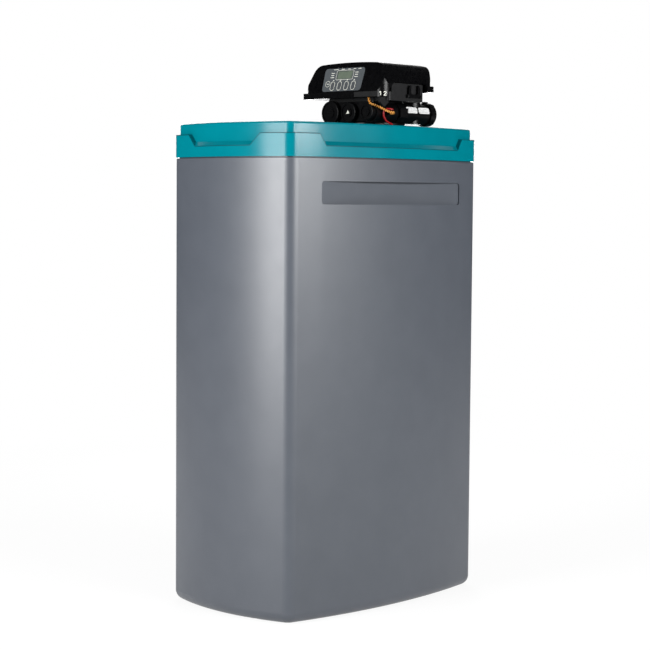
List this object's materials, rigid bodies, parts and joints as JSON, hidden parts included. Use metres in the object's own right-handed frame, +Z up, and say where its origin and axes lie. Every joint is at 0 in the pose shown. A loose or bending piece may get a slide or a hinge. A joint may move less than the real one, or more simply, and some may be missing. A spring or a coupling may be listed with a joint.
{
  "type": "water softener",
  "caption": "Cabinet water softener: grey salt tub, teal cover with a salt hatch, and a black cam-operated control valve with display, meter and bypass on a resin tank.",
  "frame": {"origin": "on the floor under the middle of the tub", "axes": "+Z up; -Y towards the front, which the display faces; +X to the right of a person who faces it"},
  "size_m": [0.3836, 0.6253, 1.0605],
  "materials": {
    "tub_plastic": "satin moulded polyethylene, blue grey",
    "cover_plastic": "glossy moulded plastic, teal",
    "black_plastic": "glass-filled moulded plastic, black, slight sheen",
    "hood_plastic": "fine-textured moulded plastic, black",
    "tank_wrap": "wound glass fibre over a plastic liner, dark",
    "natural_plastic": "unpigmented moulded plastic, off white",
    "overlay_film": "printed film, grey, satin",
    "screen_plastic": "display window, grey green",
    "button_rubber": "moulded rubber keys, dark grey",
    "label_white": "blank white plate",
    "tan_cable": "twisted pair in tan insulation",
    "red_cable": "red insulation",
    "tube_plastic": "flexible polyethylene tube, milky",
    "spring_steel": "stainless steel",
    "motor_steel": "zinc-plated motor case",
    "acetal": "white acetal",
    "board_green": "fibreglass board, green",
    "resin_beads": "amber resin beads"
  },
  "bodies": {
    "cabinet": {"air_check": "natural_plastic", "brine_fitting": "black_plastic", "brine_tube": "tube_plastic", "brine_valve": "natural_plastic", "brine_well": "natural_plastic", "brine_well_cap": "black_plastic", "bypass_body": "black_plastic", "cabinet_tub": "tub_plastic", "circuit_board": "board_green", "coupling_clips": "black_plastic", "display_panel": "hood_plastic", "display_screen": "screen_plastic", "drain_elbow": "black_plastic", "drive_motor": "motor_steel", "flow_probe": "black_plastic", "hatch_hinge_pins": "spring_steel", "injector_cap": "black_plastic", "label_plates": "label_white", "lever_spring": "spring_steel", "lower_strainer": "natural_plastic", "overflow_elbow": "black_plastic", "overflow_nut": "black_plastic", "panel_overlay": "overlay_film", "pickup_tube": "natural_plastic", "pipe_nuts": "black_plastic", "power_socket": "black_plastic", "red_lead": "red_cable", "refill_cap": "black_plastic", "resin_bed": "resin_beads", "resin_tank": "tank_wrap", "riser_tube": "natural_plastic", "salt_grid": "natural_plastic", "screen_cap": "black_plastic", "tan_lead": "tan_cable", "tank_boot": "black_plastic", "timer_housing": "black_plastic", "top_cover": "cover_plastic", "top_plate": "black_plastic", "top_plate_screws": "spring_steel", "upper_strainer": "natural_plastic", "valve_body": "black_plastic"},
    "hatch": {"salt_hatch": "cover_plastic"},
    "float": {"float_rod": "acetal", "brine_float": "acetal"},
    "cams": {"camshaft": "acetal"},
    "pinion": {"motor_pinion": "acetal"},
    "turbine": {"turbine_wheel": "acetal"},
    "cover_hood": {"hood": "hood_plastic"},
    "latch": {"hood_latch": "hood_plastic"},
    "inlet": {"inlet_rotor": "black_plastic"},
    "outlet": {"outlet_rotor": "black_plastic"},
    "lever_1": {"valve_lever_1": "acetal"},
    "lever_2": {"valve_lever_2": "acetal"},
    "lever_3": {"valve_lever_3": "acetal"},
    "lever_4": {"valve_lever_4": "acetal"},
    "lever_5": {"valve_lever_5": "acetal"},
    "button_1": {"panel_button_1": "button_rubber"},
    "button_2": {"panel_button_2": "button_rubber"},
    "button_3": {"panel_button_3": "button_rubber"},
    "button_4": {"panel_button_4": "button_rubber"}
  },
  "joints": [
    {"name": "hatch_hinge", "type": "hinge", "parent": "cabinet", "child": "hatch", "pos_m": [0, -0.0145, 0.926], "axis": [-1, 0, 0], "range_deg": [0, 95]},
    {"name": "float_rise", "type": "slide", "parent": "cabinet", "child": "float", "axis": [0, 0, 1], "range_m": [0, 0.032]},
    {"name": "cam_turn", "type": "hinge", "parent": "cabinet", "child": "cams", "pos_m": [0, 0.12, 1.018], "axis": [0, 1, 0], "continuous": true},
    {"name": "pinion_turn", "type": "hinge", "parent": "cabinet", "child": "pinion", "pos_m": [0.0394, 0.1625, 1.018], "axis": [0, 1, 0], "continuous": true},
    {"name": "turbine_turn", "type": "hinge", "parent": "cabinet", "child": "turbine", "pos_m": [0.05, 0.094, 0.9615], "axis": [0, 1, 0], "continuous": true},
    {"name": "hood_lift", "type": "slide", "parent": "cabinet", "child": "cover_hood", "axis": [0, 0, 1], "range_m": [0, 0.15]},
    {"name": "latch_swing", "type": "hinge", "parent": "cabinet", "child": "latch", "pos_m": [0.1037, 0.137, 0.993], "axis": [0, 1, 0], "range_deg": [0, 20]},
    {"name": "inlet_rotor_turn", "type": "hinge", "parent": "cabinet", "child": "inlet", "pos_m": [0.05, 0.192, 0.9615], "axis": [0, 0, 1], "range_deg": [0, 90]},
    {"name": "outlet_rotor_turn", "type": "hinge", "parent": "cabinet", "child": "outlet", "pos_m": [-0.05, 0.192, 0.9615], "axis": [0, 0, 1], "range_deg": [0, 90]},
    {"name": "lever_1_rock", "type": "hinge", "parent": "cabinet", "child": "lever_1", "pos_m": [-0.02, 0.0845, 1.0015], "axis": [0, 1, 0], "range_deg": [0, 5], "stiffness_Nm_per_rad": 0.3, "springref_deg": -2.86},
    {"name": "lever_2_rock", "type": "hinge", "parent": "cabinet", "child": "lever_2", "pos_m": [-0.02, 0.0985, 1.0015], "axis": [0, 1, 0], "range_deg": [0, 5], "stiffness_Nm_per_rad": 0.3, "springref_deg": -2.86},
    {"name": "lever_3_rock", "type": "hinge", "parent": "cabinet", "child": "lever_3", "pos_m": [-0.02, 0.1125, 1.0015], "axis": [0, 1, 0], "range_deg": [0, 5], "stiffness_Nm_per_rad": 0.3, "springref_deg": -2.86},
    {"name": "lever_4_rock", "type": "hinge", "parent": "cabinet", "child": "lever_4", "pos_m": [-0.02, 0.1265, 1.0015], "axis": [0, 1, 0], "range_deg": [0, 5], "stiffness_Nm_per_rad": 0.3, "springref_deg": -2.86},
    {"name": "lever_5_rock", "type": "hinge", "parent": "cabinet", "child": "lever_5", "pos_m": [-0.02, 0.1405, 1.0015], "axis": [0, 1, 0], "range_deg": [0, 5], "stiffness_Nm_per_rad": 0.3, "springref_deg": -2.86},
    {"name": "button_1_press", "type": "slide", "parent": "cabinet", "child": "button_1", "axis": [0, 0.9588, -0.284], "range_m": [0, 0.001], "stiffness_N_per_m": 1000, "springref_m": -0.0005},
    {"name": "button_2_press", "type": "slide", "parent": "cabinet", "child": "button_2", "axis": [0, 0.9588, -0.284], "range_m": [0, 0.001], "stiffness_N_per_m": 1000, "springref_m": -0.0005},
    {"name": "button_3_press", "type": "slide", "parent": "cabinet", "child": "button_3", "axis": [0, 0.9588, -0.284], "range_m": [0, 0.001], "stiffness_N_per_m": 1000, "springref_m": -0.0005},
    {"name": "button_4_press", "type": "slide", "parent": "cabinet", "child": "button_4", "axis": [0, 0.9588, -0.284], "range_m": [0, 0.001], "stiffness_N_per_m": 1000, "springref_m": -0.0005}
  ],
  "couplings": [
    {"joint": "pinion_turn", "follows": "cam_turn", "ratio": -3.3333}
  ]
}
